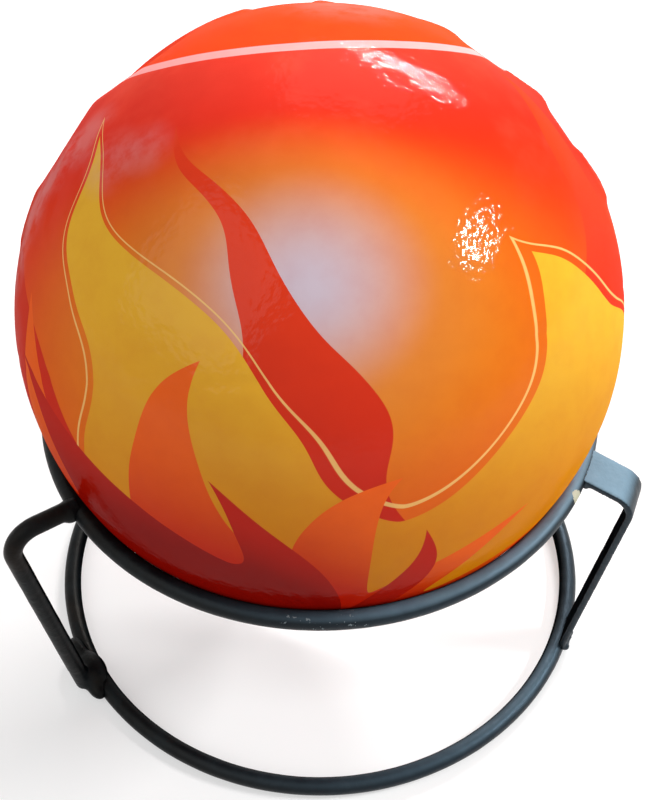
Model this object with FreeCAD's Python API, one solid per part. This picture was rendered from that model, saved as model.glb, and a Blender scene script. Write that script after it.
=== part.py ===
import FreeCAD, Part
import math
import os

# A fire extinguisher ball on its welded black wire stand, in millimetres, +Z up.
# The origin is the centre of the base ring at floor level, and the front faces -Y.
# The ball is a printed film shrunk over two foam half shells that hold dry powder,
# with a burst charge in a tube at its heart and fuse cords that lie under the film.

# Ball
ball_diameter = 150.0
film_thickness = 0.5
shell_wall = 8.0
ball_lean_deg = 35.6  # the ball lies in its ring with its own axis leaning back
ball_lean_azimuth_deg = 97.0

# Lap joint of the two half shells, at the ball's own equator
lap_height = 4.0
lap_inner_wall = 3.7

# Charge at the heart of the ball
tube_diameter = 16.0
tube_wall = 1.0
tube_rim_depth = 5.0  # rim of the tube below the outside of the shell
tube_socket_depth = 4.0
charge_length = 40.0
top_plug_length = 8.0
top_plug_depth = 4.0  # top plug below the rim of the tube
plug_passage_diameter = 8.4

# Fuse cords
fuse_diameter = 2.5
fuse_sink = 0.5  # cord centre below the outside of the shell
fuse_bend_radius = 9.0
fuse_axis_offset = 2.7
fuse_reach_deg = 60.0
groove_spare_deg = 0.5  # groove in the shell beyond the cord's end
fuse_bearings_deg = {"fuse_right": 37.0, "fuse_rear": 97.0, "fuse_left": 157.0}

# Ridges of the film over the cords
ridge_radius = 5.0
ridge_start_deg = 8.5

# Shallow flats where the film spans between ridges: azimuth, elevation, depth
flats = ((34.0, 44.2, 1.2), (14.6, 31.9, 1.0), (137.9, 44.2, 1.6), (159.1, 30.6, 1.0))

# Stand
rod_diameter = 5.0
seat_drop = 31.6  # middle of the upper ring's rod below the ball's centre
base_ring_radius = 74.0  # to the middle of the rod
ring_spacing = 76.0
leg_rise = 1.2  # middle of a leg's top arm above the middle of the upper ring

# Flat strap legs, at the right and hidden at the rear
strap_width = 11.0
strap_thickness = 2.0
strap_arm_reach = 16.4  # from the middle of the upper ring's rod out to the corner
strap_arm_drop_deg = 19.0  # slope of the arm down to its corner
strap_foot_reach = 1.6  # from the middle of the base ring's rod out to the foot
strap_foot_lift = 2.0  # foot above the middle of the base ring's rod
strap_bend_radius = 6.0
strap_legs_deg = {"leg_right": -24.3, "leg_rear": 90.0}

# Round bar leg, at the left
bar_diameter = 5.0
bar_arm_reach = 20.0
bar_foot_bite = 0.3  # how far the welded foot melts into the outside of the base ring
bar_foot_lift = 0.2
bar_bend_radius = 7.0
bar_leg_deg = 208.0

# Weld beads
strap_bead_radius = 1.2
bar_bead_proud = 0.7

# Clearances
seat_gap = 0.2  # between the ball and the upper ring
film_gap = 0.2  # between the film and what it covers
fit_gap = 0.1  # between pieces that fit in each other

# Sizes worked out from the values above
ball_radius = ball_diameter / 2
rod_radius = rod_diameter / 2
base_ring_z = rod_radius
upper_ring_z = base_ring_z + ring_spacing
seat_distance = ball_radius + rod_radius + seat_gap
upper_ring_radius = math.sqrt(seat_distance**2 - seat_drop**2)
ball_z = upper_ring_z + seat_drop
shell_radius = ball_radius - film_thickness - film_gap
cavity_radius = shell_radius - shell_wall
lap_radius = cavity_radius + lap_inner_wall
tube_radius = tube_diameter / 2
tube_bore_radius = tube_radius - tube_wall
tube_top_z = shell_radius - tube_rim_depth
tube_bottom_z = -cavity_radius - tube_socket_depth
fuse_radius = fuse_diameter / 2
fuse_run_radius = shell_radius - fuse_sink
ridge_height = fuse_run_radius + fuse_radius + film_gap + film_thickness - ball_radius
ridge_keep_depth = 1.5  # part of a ridge's body that is kept below the film's outside
bar_radius = bar_diameter / 2

ORIGIN = FreeCAD.Vector(0, 0, 0)
UP = FreeCAD.Vector(0, 0, 1)
BALL_CENTRE = FreeCAD.Vector(0, 0, ball_z)


def direction(azimuth_deg, elevation_deg):
    """Unit vector at an azimuth, counted from +X, and an elevation."""
    azimuth = math.radians(azimuth_deg)
    elevation = math.radians(elevation_deg)
    return FreeCAD.Vector(
        math.cos(elevation) * math.cos(azimuth),
        math.cos(elevation) * math.sin(azimuth),
        math.sin(elevation),
    )


def lean(shape):
    """Turns a shape from the ball's own upright frame to the way the ball lies."""
    hinge = direction(ball_lean_azimuth_deg + 90, 0)
    shape.rotate(ORIGIN, hinge, ball_lean_deg)
    return shape


def ball_axis():
    """Direction of the ball's own axis, towards its upper pole."""
    return direction(ball_lean_azimuth_deg, 90 - ball_lean_deg)


def plain_sphere(radius):
    """Sphere about the origin with its poles where nothing is cut or added."""
    sphere = Part.makeSphere(radius)
    sphere.rotate(ORIGIN, FreeCAD.Vector(0, 1, 0), 110)
    return sphere


def on_circle(radius, z):
    """Distance from the axis of the point of a circle at a height."""
    return math.sqrt(radius**2 - z**2)


def cut_flats(shape, inset):
    """Cuts the shallow flats, each moved inwards by the inset."""
    for azimuth, elevation, depth in flats:
        outward = direction(azimuth, elevation)
        seat = outward * (ball_radius - depth - inset)
        reach = on_circle(ball_radius, ball_radius - depth) + depth
        shape = shape.cut(Part.makeCylinder(2 * reach, reach, seat, outward))
    return shape


def ridge(start, toward, span_deg, radius, crest):
    """Rounded ridge along a great circle of the ball.

    It begins at the direction start and runs towards the direction toward. Its round body
    has the given radius, and its crest stands at the given distance from the ball's centre.
    """
    normal = start.cross(toward)
    normal.normalize()
    middle = start * (crest - radius)
    tangent = normal.cross(start)
    section = Part.Face(Part.Wire(Part.makeCircle(radius, middle, tangent)))
    body = section.revolve(ORIGIN, normal, span_deg)
    end = FreeCAD.Rotation(normal, span_deg).multVec(middle)
    for place in (middle, end):
        body = body.fuse(Part.makeSphere(radius, place, tangent))
    return body.removeSplitter()


def ridges(inset):
    """Ridges of the film over the cords, with their surface moved inwards by the inset."""
    inner = plain_sphere(ball_radius - ridge_keep_depth - inset)
    axis = ball_axis()
    found = []
    for bearing in fuse_bearings_deg.values():
        away = lean(Part.Vertex(direction(bearing, 0))).Point
        start = FreeCAD.Rotation(axis.cross(away), ridge_start_deg).multVec(axis)
        crest = ball_radius + ridge_height - inset
        body = ridge(start, away, fuse_reach_deg - ridge_start_deg, ridge_radius - inset, crest)
        found.append(body.cut(inner))
    return found


def skin(inset):
    """The film's outer form, or what lies an inset below it, as a solid."""
    shape = cut_flats(plain_sphere(ball_radius - inset), inset)
    for body in ridges(inset):
        shape = shape.fuse(body)
    return shape.removeSplitter()


def film_wrap():
    """Printed shrink film, one closed skin over the whole ball."""
    return skin(0.0).cut(skin(film_thickness))


def fuse_cord(bearing_deg, radius, reach_deg):
    """Cord from the top of the charge, out of the tube and over the shell to its reach."""
    centre_r = fuse_axis_offset + fuse_bend_radius
    reach = fuse_run_radius - fuse_bend_radius
    centre_z = math.sqrt(reach**2 - centre_r**2)
    lift_deg = math.degrees(math.atan2(centre_z, centre_r))
    foot = FreeCAD.Vector(fuse_axis_offset, 0, charge_length / 2)
    turn_in = FreeCAD.Vector(fuse_axis_offset, 0, centre_z)
    centre = FreeCAD.Vector(centre_r, 0, centre_z)
    half_deg = (180 + lift_deg) / 2
    turn_mid = centre + fuse_bend_radius * FreeCAD.Vector(
        math.cos(math.radians(half_deg)), 0, math.sin(math.radians(half_deg))
    )
    turn_out = centre * (fuse_run_radius / reach)
    end_deg = 90 - reach_deg
    run_mid = fuse_run_radius * direction(0, (lift_deg + end_deg) / 2)
    run_end = fuse_run_radius * direction(0, end_deg)
    path = Part.Wire([
        Part.makeLine(foot, turn_in),
        Part.Arc(turn_in, turn_mid, turn_out).toShape(),
        Part.Arc(turn_out, run_mid, run_end).toShape(),
    ])
    section = Part.Wire(Part.makeCircle(radius, foot, UP))
    cord = path.makePipeShell([section], True, False)
    cord.rotate(ORIGIN, UP, bearing_deg)
    return lean(cord)


def shell_profile(points):
    """Face in the XZ plane from lines and arcs about the origin.

    Each point is (r, z, kind), and kind says how the outline reaches it: line or arc.
    """
    edges = []
    previous = points[-1]
    for point in points:
        start = FreeCAD.Vector(previous[0], 0, previous[1])
        end = FreeCAD.Vector(point[0], 0, point[1])
        if point[2] == "arc":
            middle = start + end
            middle.normalize()
            edges.append(Part.Arc(start, middle * start.Length, end).toShape())
        else:
            edges.append(Part.makeLine(start, end))
        previous = point
    return Part.Face(Part.Wire(edges))


def fit_under_film(shell):
    """Flats and fuse grooves of a half shell that is already leaning."""
    shell = cut_flats(shell, film_thickness + film_gap)
    for bearing in fuse_bearings_deg.values():
        groove = fuse_cord(bearing, fuse_radius + fit_gap, fuse_reach_deg + groove_spare_deg)
        shell = shell.cut(groove)
    return shell


def shell_upper():
    """Upper foam half shell, with the outer lap and the hole for the tube."""
    hole = tube_radius + fit_gap
    profile = shell_profile((
        (hole, on_circle(shell_radius, hole), "line"),
        (on_circle(shell_radius, lap_height), -lap_height, "arc"),
        (lap_radius + fit_gap, -lap_height, "line"),
        (lap_radius + fit_gap, 0, "line"),
        (cavity_radius, 0, "line"),
        (hole, on_circle(cavity_radius, hole), "arc"),
    ))
    shell = profile.revolve(ORIGIN, UP, 360)
    return fit_under_film(lean(shell))


def shell_lower():
    """Lower foam half shell, with the inner lap and the socket that the tube stands in."""
    socket = tube_radius + fit_gap
    shoulder_z = -lap_height - fit_gap
    rim_z = -fit_gap
    profile = shell_profile((
        (on_circle(cavity_radius, rim_z), rim_z, "line"),
        (lap_radius, rim_z, "line"),
        (lap_radius, shoulder_z, "line"),
        (on_circle(shell_radius, shoulder_z), shoulder_z, "line"),
        (0, -shell_radius, "arc"),
        (0, tube_bottom_z, "line"),
        (socket, tube_bottom_z, "line"),
        (socket, -on_circle(cavity_radius, socket), "line"),
        (on_circle(cavity_radius, rim_z), rim_z, "arc"),
    )[1:])
    shell = profile.revolve(ORIGIN, UP, 360)
    return fit_under_film(lean(shell))


def powder_fill():
    """Dry powder that fills the cavity around the tube."""
    fill_radius = cavity_radius - fit_gap
    fill = Part.makeSphere(fill_radius)
    bore = tube_radius + fit_gap
    fill = fill.cut(Part.makeCylinder(bore, 2 * fill_radius, FreeCAD.Vector(0, 0, -fill_radius)))
    return lean(fill)


def round_bar(radius, bottom_z, top_z):
    """Upright cylinder on the ball's own axis."""
    return Part.makeCylinder(radius, top_z - bottom_z, FreeCAD.Vector(0, 0, bottom_z))


def charge_tube():
    """Cardboard tube from the lower shell's socket to the upper shell's hole."""
    tube = round_bar(tube_radius, tube_bottom_z, tube_top_z)
    return lean(tube.cut(round_bar(tube_bore_radius, tube_bottom_z, tube_top_z)))


def burst_charge():
    """Round charge in the middle of the tube."""
    half = charge_length / 2
    return lean(round_bar(tube_bore_radius - fit_gap, -half, half))


def tube_wad():
    """Paper wad that fills the tube below the charge and carries it."""
    return lean(round_bar(tube_bore_radius - fit_gap, tube_bottom_z, -charge_length / 2))


def tube_plug():
    """Plug near the rim of the tube, with the passage for the fuse cords."""
    top = tube_top_z - top_plug_depth
    plug = round_bar(tube_bore_radius - fit_gap, top - top_plug_length, top)
    passage = round_bar(plug_passage_diameter / 2, top - top_plug_length, top)
    return lean(plug.cut(passage))


def ring(radius, z):
    """Closed ring of the stand's round rod."""
    return Part.makeTorus(radius, rod_radius, FreeCAD.Vector(0, 0, z), UP)


def rounded_path(points, bend_radius):
    """Three points in the XZ plane, joined by two lines and a tangent arc."""
    start, corner, end = (FreeCAD.Vector(r, 0, z) for r, z in points)
    back = (start - corner).normalize()
    ahead = (end - corner).normalize()
    half = back.getAngle(ahead) / 2
    bend_in = corner + back * (bend_radius / math.tan(half))
    bend_out = corner + ahead * (bend_radius / math.tan(half))
    inward = (back + ahead).normalize()
    centre = corner + inward * (bend_radius / math.sin(half))
    return Part.Wire([
        Part.makeLine(start, bend_in),
        Part.Arc(bend_in, centre - inward * bend_radius, bend_out).toShape(),
        Part.makeLine(bend_out, end),
    ])


def cope(leg, angle_deg):
    """Cuts the two rings out of a leg's ends and turns it to its place."""
    leg = leg.cut(ring(upper_ring_radius, upper_ring_z))
    leg = leg.cut(ring(base_ring_radius, base_ring_z))
    leg = max(leg.Solids, key=lambda solid: solid.Volume)
    leg.rotate(ORIGIN, UP, angle_deg)
    return leg


def strap_bead(r, z):
    """Weld bead across the strap's width, with round ends."""
    half = strap_width / 2 - strap_bead_radius
    middle = FreeCAD.Vector(r, 0, z)
    along = FreeCAD.Vector(0, 1, 0)
    bead = Part.makeCylinder(strap_bead_radius, 2 * half, middle - along * half, along)
    for end in (-half, half):
        bead = bead.fuse(Part.makeSphere(strap_bead_radius, middle + along * end))
    return bead.removeSplitter()


def strap_leg(angle_deg):
    """Leg of flat strap, bent down from the upper ring to the top of the base ring."""
    arm_z = upper_ring_z + leg_rise
    drop = math.radians(strap_arm_drop_deg)
    corner_r = upper_ring_radius + strap_arm_reach * math.cos(drop)
    corner = (corner_r, arm_z - strap_arm_reach * math.sin(drop))
    foot = (base_ring_radius + strap_foot_reach, base_ring_z + strap_foot_lift)
    path = rounded_path(((upper_ring_radius, arm_z), corner, foot), strap_bend_radius)
    half_width = strap_width / 2
    half_thickness = strap_thickness / 2
    corners = [
        FreeCAD.Vector(upper_ring_radius + rise * math.sin(drop), y, arm_z + rise * math.cos(drop))
        for y, rise in (
            (-half_width, -half_thickness),
            (half_width, -half_thickness),
            (half_width, half_thickness),
            (-half_width, half_thickness),
        )
    ]
    section = Part.makePolygon(corners + corners[:1])
    leg = path.makePipeShell([section], True, False)
    top_bead_z = arm_z - rod_radius * math.tan(drop) - half_thickness - strap_bead_radius / 2
    beads = (
        (upper_ring_radius + rod_radius, top_bead_z),
        (base_ring_radius + rod_radius, base_ring_z + strap_bead_radius),
    )
    for r, z in beads:
        leg = leg.fuse(strap_bead(r, z))
    return cope(leg.removeSplitter(), angle_deg)


def bar_leg(angle_deg):
    """Leg of round bar, bent down from the upper ring to the outside of the base ring."""
    arm_z = upper_ring_z + leg_rise
    start = FreeCAD.Vector(upper_ring_radius, 0, arm_z)
    corner = (upper_ring_radius + bar_arm_reach, arm_z)
    foot_radius = base_ring_radius + rod_radius + bar_radius - bar_foot_bite
    foot = (foot_radius, base_ring_z + bar_foot_lift)
    path = rounded_path(((upper_ring_radius, arm_z), corner, foot), bar_bend_radius)
    section = Part.Wire(Part.makeCircle(bar_radius, start, FreeCAD.Vector(1, 0, 0)))
    leg = path.makePipeShell([section], True, False)
    beads = (
        (upper_ring_radius + rod_radius, arm_z - leg_rise / 2),
        (base_ring_radius + rod_radius, base_ring_z + rod_radius / 2),
    )
    for r, z in beads:
        leg = leg.fuse(Part.makeSphere(bar_radius + bar_bead_proud, FreeCAD.Vector(r, 0, z)))
    return cope(leg.removeSplitter(), angle_deg)


def in_place(shape):
    """Moves a piece of the ball from the ball's centre to its seat in the stand."""
    shape.translate(BALL_CENTRE)
    return shape


def build():
    """All pieces by name."""
    nodes = {
        "film_wrap": in_place(film_wrap()),
        "shell_upper": in_place(shell_upper()),
        "shell_lower": in_place(shell_lower()),
        "powder_fill": in_place(powder_fill()),
        "charge_tube": in_place(charge_tube()),
        "burst_charge": in_place(burst_charge()),
        "tube_wad": in_place(tube_wad()),
        "tube_plug": in_place(tube_plug()),
        "upper_ring": ring(upper_ring_radius, upper_ring_z),
        "base_ring": ring(base_ring_radius, base_ring_z),
        "leg_left": bar_leg(bar_leg_deg),
    }
    for name, bearing in fuse_bearings_deg.items():
        nodes[name] = in_place(fuse_cord(bearing, fuse_radius, fuse_reach_deg))
    for name, angle in strap_legs_deg.items():
        nodes[name] = strap_leg(angle)
    return nodes


def main():
    os.makedirs("parts", exist_ok=True)
    for name, shape in build().items():
        solids = shape.Solids
        if len(solids) == 1:
            shape = solids[0]
        print(f"{name}: {len(solids)} solid, valid {shape.isValid()}, {shape.Volume:.1f} mm3")
        shape.exportStep(f"parts/{name}.step")


main()
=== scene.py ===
import logging
import math
from collections.abc import Sequence
from dataclasses import dataclass, field
from enum import Enum

import bpy
import numpy as np
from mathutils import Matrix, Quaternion, Vector, noise


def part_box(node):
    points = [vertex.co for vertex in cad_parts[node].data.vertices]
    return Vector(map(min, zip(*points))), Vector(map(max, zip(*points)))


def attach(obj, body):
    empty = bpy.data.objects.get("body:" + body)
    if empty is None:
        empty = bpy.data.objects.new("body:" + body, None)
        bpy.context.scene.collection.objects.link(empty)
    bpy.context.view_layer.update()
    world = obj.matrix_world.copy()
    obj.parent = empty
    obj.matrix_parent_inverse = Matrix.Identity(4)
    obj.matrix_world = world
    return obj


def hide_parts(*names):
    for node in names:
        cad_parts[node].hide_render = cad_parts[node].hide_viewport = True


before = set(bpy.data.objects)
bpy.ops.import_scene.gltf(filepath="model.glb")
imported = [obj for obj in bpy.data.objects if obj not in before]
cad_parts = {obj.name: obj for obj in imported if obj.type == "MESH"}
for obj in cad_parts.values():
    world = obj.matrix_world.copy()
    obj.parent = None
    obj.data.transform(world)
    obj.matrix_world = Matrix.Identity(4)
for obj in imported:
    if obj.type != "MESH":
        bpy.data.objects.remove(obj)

log = logging.getLogger("fire_ball_scene")

MM = 0.001
BODY = "root"

# The ball and how it lies, as the construction has it
BALL_RADIUS = 75 * MM
FILM_THICKNESS = 0.5 * MM
BALL_LEAN_DEG = 35.6
BALL_LEAN_AZIMUTH_DEG = 97.0
SLEEVE_POLE_AZIMUTH_DEG = 87.7
SLEEVE_POLE_ELEVATION_DEG = 31.5

# The light stripe of the print lies on a circle of its own
STRIPE_POLE_AZIMUTH_DEG = 90.7
STRIPE_POLE_ELEVATION_DEG = 42.4

# The camera stands where the photograph was taken from
VIEW_AZIMUTH_DEG = -4.0
VIEW_ELEVATION_DEG = 45.5
VIEW_DISTANCE = 0.400
VIEW_AIM = Vector((0.0007, 0.0, 0.0764))
VIEW_LENS = 71.83

Piece = bpy.types.Object
Material = bpy.types.Material
Socket = bpy.types.NodeSocket
Array = np.ndarray
Scalar = Socket | float
Colour = tuple[float, float, float, float]


def paint(code: str) -> Colour:
    """Linear colour from six hexadecimal digits of a screen colour.

    Args:
        code: Red, green and blue, two digits each.

    Returns:
        Red, green, blue and a full alpha, as Blender's sockets take them.
    """
    values = [int(code[i:i + 2], 16) / 255 for i in (0, 2, 4)]
    linear = [v / 12.92 if v <= 0.04045 else ((v + 0.055) / 1.055) ** 2.4 for v in values]
    return (*linear, 1.0)


def direction(azimuth_deg: float, elevation_deg: float) -> Vector:
    """Unit vector at an azimuth and an elevation.

    Args:
        azimuth_deg: Angle from +X towards +Y.
        elevation_deg: Angle above the floor.

    Returns:
        The vector.
    """
    azimuth = math.radians(azimuth_deg)
    elevation = math.radians(elevation_deg)
    flat = math.cos(elevation)
    return Vector((flat * math.cos(azimuth), flat * math.sin(azimuth), math.sin(elevation)))


def turned(point: Vector, hinge: Vector, angle_deg: float) -> Vector:
    """A point turned about an axis through the origin."""
    return Quaternion(hinge, math.radians(angle_deg)) @ point


def ball_centre() -> Vector:
    """Centre of the ball, worked out from the lowest point of the film in the frame."""
    return Vector((0, 0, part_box("film_wrap")[0].z + BALL_RADIUS))


def smooth_peak(first: Array, second: Array, width: float) -> Array:
    """The larger of two values, with the crease between them rounded over a width."""
    middle = np.clip(0.5 + 0.5 * (first - second) / width, 0, 1)
    return second + (first - second) * middle + width * middle * (1 - middle)


def noise_field(points: Array, size: float, seed: float) -> Array:
    """Smooth noise, from about -1 to 1, at each of many points.

    Args:
        points: One row of three coordinates for each point, in metres.
        size: Length over which the noise changes, in metres.
        seed: Shift that gives another piece other noise.

    Returns:
        One value for each point.
    """
    shift = Vector((seed, 2 * seed, 3 * seed))
    return np.array([noise.noise(Vector(p) / size + shift) for p in points])


class Shape:
    """Calls that every modelled piece uses."""

    @staticmethod
    def fresh() -> None:
        """Leaves edit mode and deselects everything, so that the next call acts alone."""
        if bpy.context.mode != "OBJECT":
            bpy.ops.object.mode_set(mode="OBJECT")
        bpy.ops.object.select_all(action="DESELECT")

    @staticmethod
    def choose(*pieces: Piece) -> None:
        """Selects pieces alone and makes the first of them active."""
        Shape.fresh()
        for piece in pieces:
            piece.select_set(True)
        bpy.context.view_layer.objects.active = pieces[0]

    @staticmethod
    def points(piece: Piece) -> Array:
        """Coordinates of the mesh, one row for each vertex."""
        flat = np.empty(len(piece.data.vertices) * 3)
        piece.data.vertices.foreach_get("co", flat)
        return flat.reshape(-1, 3)

    @staticmethod
    def normals(piece: Piece) -> Array:
        """Vertex normals of the mesh, one row for each vertex."""
        flat = np.empty(len(piece.data.vertices) * 3)
        piece.data.vertex_normals.foreach_get("vector", flat)
        return flat.reshape(-1, 3)

    @staticmethod
    def move_points(piece: Piece, points: Array) -> None:
        """Puts new coordinates into the mesh."""
        piece.data.vertices.foreach_set("co", points.ravel())
        piece.data.update()

    @staticmethod
    def join(pieces: Sequence[Piece]) -> Piece:
        """Joins pieces into the first one."""
        Shape.choose(*pieces)
        bpy.ops.object.join()
        return pieces[0]

    @staticmethod
    def apply_place(piece: Piece) -> None:
        """Moves the object's place, turn and scale into its mesh."""
        Shape.choose(piece)
        bpy.ops.object.transform_apply(location=True, rotation=True, scale=True)

    @staticmethod
    def modify(piece: Piece, kind: str, **settings: object) -> None:
        """Adds a modifier with settings and applies it at once."""
        Shape.choose(piece)
        modifier = piece.modifiers.new(kind.lower(), kind)
        for name, value in settings.items():
            setattr(modifier, name, value)
        bpy.ops.object.modifier_apply(modifier=modifier.name)

    @staticmethod
    def smooth(piece: Piece) -> None:
        """Smooth shading all over."""
        Shape.choose(piece)
        bpy.ops.object.shade_smooth()


class NodeSheet:
    """Node tree of one finish, with short calls for the nodes that finishes use."""

    def __init__(self, name: str) -> None:
        """Starts a new material with a principled shader."""
        self.material = bpy.data.materials.new(name)
        self.material.use_nodes = True
        self.tree = self.material.node_tree
        self.shader = self.tree.nodes["Principled BSDF"]

    def feed(self, socket: Socket, value: object) -> None:
        """Links a socket to a node's output, or sets its value or its colour's six digits."""
        if isinstance(value, Socket):
            self.tree.links.new(value, socket)
        else:
            socket.default_value = paint(value) if isinstance(value, str) else value

    def surface(self, **values: object) -> None:
        """Sets or links inputs of the shader, named with underscores for spaces."""
        for name, value in values.items():
            self.feed(self.shader.inputs[name.replace("_", " ")], value)

    def math(self, kind: str, first: Scalar, second: Scalar = 0.0, third: Scalar = 0.0) -> Socket:
        """One step of arithmetic on single values."""
        node = self.tree.nodes.new("ShaderNodeMath")
        node.operation = kind
        for socket, value in zip(node.inputs, (first, second, third)):
            self.feed(socket, value)
        return node.outputs[0]

    def times(self, first: Scalar, second: Scalar) -> Socket:
        """The product of two values."""
        return self.math("MULTIPLY", first, second)

    def scaled(self, value: Scalar, factor: Scalar, shift: Scalar) -> Socket:
        """A value times a factor, and a shift added."""
        return self.math("MULTIPLY_ADD", value, factor, shift)

    def vector(self, kind: str, first: object, second: object = (0.0, 0.0, 0.0)) -> Socket:
        """One step of arithmetic on vectors, with a vector or a single value as its result."""
        node = self.tree.nodes.new("ShaderNodeVectorMath")
        node.operation = kind
        self.feed(node.inputs[0], first)
        self.feed(node.inputs[1], second)
        return node.outputs["Value" if kind in ("DOT_PRODUCT", "LENGTH") else "Vector"]

    def ease(self, value: Scalar, low: float, high: float) -> Socket:
        """Share that goes smoothly from 0 to 1 as a value goes from low to high."""
        node = self.tree.nodes.new("ShaderNodeMapRange")
        node.interpolation_type = "SMOOTHSTEP"
        self.feed(node.inputs["Value"], value)
        node.inputs["From Min"].default_value = low
        node.inputs["From Max"].default_value = high
        return node.outputs["Result"]

    def along(self, where: object, way: Sequence[float]) -> Socket:
        """How far a vector reaches along a way."""
        return self.vector("DOT_PRODUCT", where, tuple(way))

    def mix(self, share: Scalar, first: object, second: object) -> Socket:
        """Colour between two colours."""
        node = self.tree.nodes.new("ShaderNodeMix")
        node.data_type = "RGBA"
        self.feed(node.inputs["Factor"], share)
        self.feed(node.inputs[6], first)
        self.feed(node.inputs[7], second)
        return node.outputs[2]

    def place(self) -> Socket:
        """The point on the piece, in metres."""
        return self.tree.nodes.new("ShaderNodeTexCoord").outputs["Object"]

    def noise(self, where: Socket, size: float, detail: float = 2.0, rough: float = 0.5) -> Socket:
        """Noise from 0 to 1, with features of a size in metres."""
        node = self.tree.nodes.new("ShaderNodeTexNoise")
        self.feed(node.inputs["Vector"], where)
        node.inputs["Scale"].default_value = 1 / size
        node.inputs["Detail"].default_value = detail
        node.inputs["Roughness"].default_value = rough
        return node.outputs[0]

    def cells(self, where: Socket, size: float) -> Socket:
        """Distance to the nearest of scattered points, about a size in metres apart."""
        node = self.tree.nodes.new("ShaderNodeTexVoronoi")
        self.feed(node.inputs["Vector"], where)
        node.inputs["Scale"].default_value = 1 / size
        return node.outputs["Distance"]

    def bump(self, height: Socket, depth: float) -> Socket:
        """Normal tilted by a height that counts from 0 to 1 over a depth in metres."""
        node = self.tree.nodes.new("ShaderNodeBump")
        node.inputs["Strength"].default_value = 1.0
        node.inputs["Distance"].default_value = depth
        self.feed(node.inputs["Height"], height)
        return node.outputs["Normal"]


@dataclass(frozen=True)
class FlameRow:
    """One row of printed flame tongues that rises from the low pole of the sleeve.

    Its foot climbs by swell from the front to the back and falls by tilt to the right. The
    tongues are as high as rise, and the body's colour gives way to the tip's at fade of it.
    """

    foot: float
    swell: float
    rise: float
    count: int
    phase: float
    bend: float
    tip: str
    body: str
    fade: float
    slim: float = 1.6
    outline: str = ""
    tilt: float = 0.0


@dataclass(frozen=True)
class Halo:
    """Soft round field of printed colour in the middle of the front, with its half sizes."""

    colour: str
    wide: float
    tall: float
    rise: float
    core: float
    strength: float
    shift: float = 0.08


@dataclass(frozen=True)
class SheenPatch:
    """Patch of painted pink sheen on the film, a painted reflection at an azimuth and an elevation
    on the ball.
    """

    azimuth_deg: float
    elevation_deg: float
    reach: float
    share: float


@dataclass(frozen=True)
class FilmSpot:
    """Where a point lies on the printed sleeve, as sockets of a node tree.

    It holds the point itself, its angle round the sleeve from the front, its height on the
    sleeve, and its height above the stripe, both in metres.
    """

    place: Socket
    turn: Socket
    up: Socket
    top: Socket


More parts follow.
